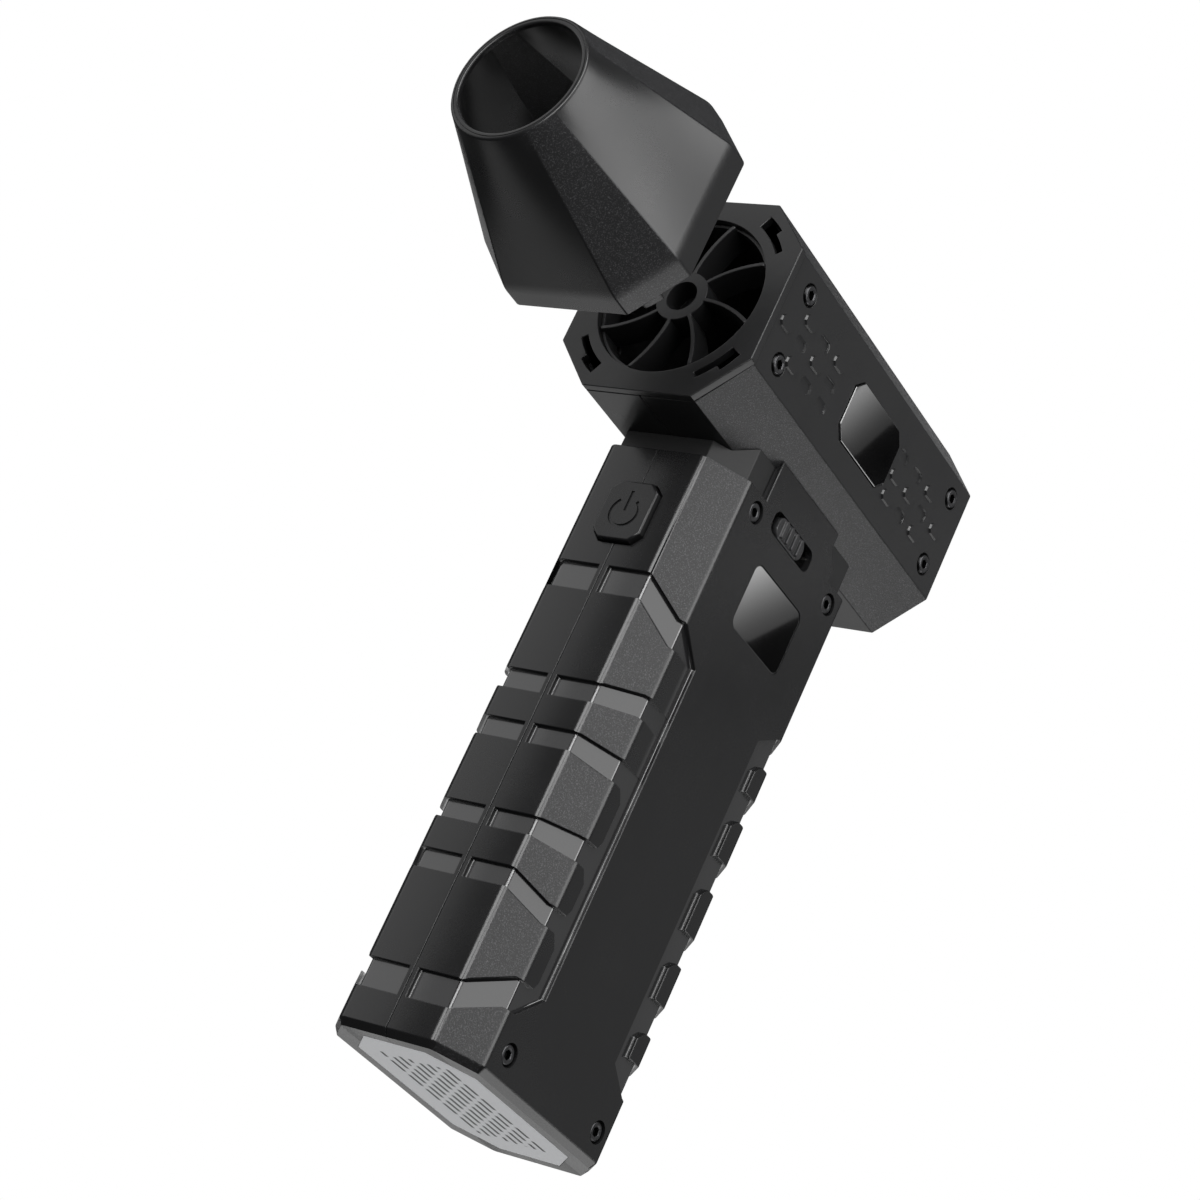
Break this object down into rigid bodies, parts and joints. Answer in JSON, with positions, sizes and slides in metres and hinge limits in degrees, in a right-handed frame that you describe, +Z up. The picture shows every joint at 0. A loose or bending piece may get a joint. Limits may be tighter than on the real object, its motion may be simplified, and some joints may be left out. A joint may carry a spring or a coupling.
{
  "type": "car dryer blower",
  "caption": "Handheld jet blower: octagonal fan head on an upright battery handle with grip bands, display, power button, speed slider and a plug-in nozzle drawn out in front.",
  "frame": {"origin": "centre of the handle's flat base", "axes": "+Z up along the handle, -Y the air outlet and power button side, +X the side with the screws, display and slider"},
  "size_m": [0.05, 0.1711, 0.1958],
  "materials": {
    "shell_black": "fine textured and satin black ABS",
    "label_silver": "silver foil label, blank",
    "guide_black": "satin black",
    "duct_black": "matte black",
    "lens_black": "glossy black acrylic",
    "motor_metal": "turned aluminium",
    "core_steel": "laminated steel",
    "copper": "enamelled copper wire",
    "bearing_steel": "ground steel",
    "fan_plastic": "satin nylon",
    "board_green": "solder mask",
    "chip_black": "moulded black",
    "cell_wrap": "shrink wrap",
    "frame_grey": "matte",
    "nickel": "nickel plated",
    "button_black": "satin black",
    "knob_black": "ribbed satin black",
    "screw_black": "black oxide steel",
    "lead_red": "silicone insulation",
    "lead_black": "silicone insulation",
    "nozzle_black": "fine grained satin black"
  },
  "bodies": {
    "housing": {"handle_shell_right": "shell_black", "handle_shell_left": "shell_black", "base_label": "label_silver", "neck_collar": "shell_black", "head_shell_right": "shell_black", "head_shell_left": "shell_black", "front_bezel": "shell_black", "outlet_guide": "guide_black", "duct_tube": "duct_black", "rear_grille": "guide_black", "badge_lens": "lens_black", "motor_mount": "duct_black", "motor_case": "motor_metal", "motor_end_cap": "motor_metal", "stator_core": "core_steel", "motor_windings": "copper", "front_bearing": "bearing_steel", "rear_bearing": "bearing_steel", "main_board": "board_green", "motor_driver": "chip_black", "cell_front": "cell_wrap", "cell_middle": "cell_wrap", "cell_rear": "cell_wrap", "cell_tray": "frame_grey", "cell_cap": "frame_grey", "cell_links": "nickel", "charge_board": "board_green", "charge_socket": "nickel", "button_switch": "chip_black", "button_board": "board_green", "slider_switch": "nickel", "display_module": "chip_black", "display_lens": "lens_black", "handle_screws": "screw_black", "head_screws": "screw_black", "motor_leads": "lead_red", "battery_leads": "lead_black"},
    "rotor": {"motor_shaft": "bearing_steel", "rotor_magnet": "core_steel", "impeller": "fan_plastic", "spinner": "fan_plastic"},
    "button": {"power_button": "button_black", "switch_plunger": "chip_black"},
    "slider": {"speed_slider": "knob_black"},
    "nozzle_body": {"nozzle": "nozzle_black"}
  },
  "joints": [
    {"name": "rotor_spin", "type": "hinge", "parent": "housing", "child": "rotor", "pos_m": [0, 0, 0.1708], "axis": [0, 1, 0], "continuous": true},
    {"name": "power_button_press", "type": "slide", "parent": "housing", "child": "button", "axis": [0, 1, 0], "range_m": [0, 0.0008], "stiffness_N_per_m": 300},
    {"name": "speed_slider_slide", "type": "slide", "parent": "housing", "child": "slider", "axis": [0, 1, 0], "range_m": [-0.0021, 0.0041]},
    {"name": "nozzle_pull", "type": "slide", "parent": "housing", "child": "nozzle_body", "axis": [0, -1, 0], "range_m": [-0.0289, 0.02]}
  ]
}
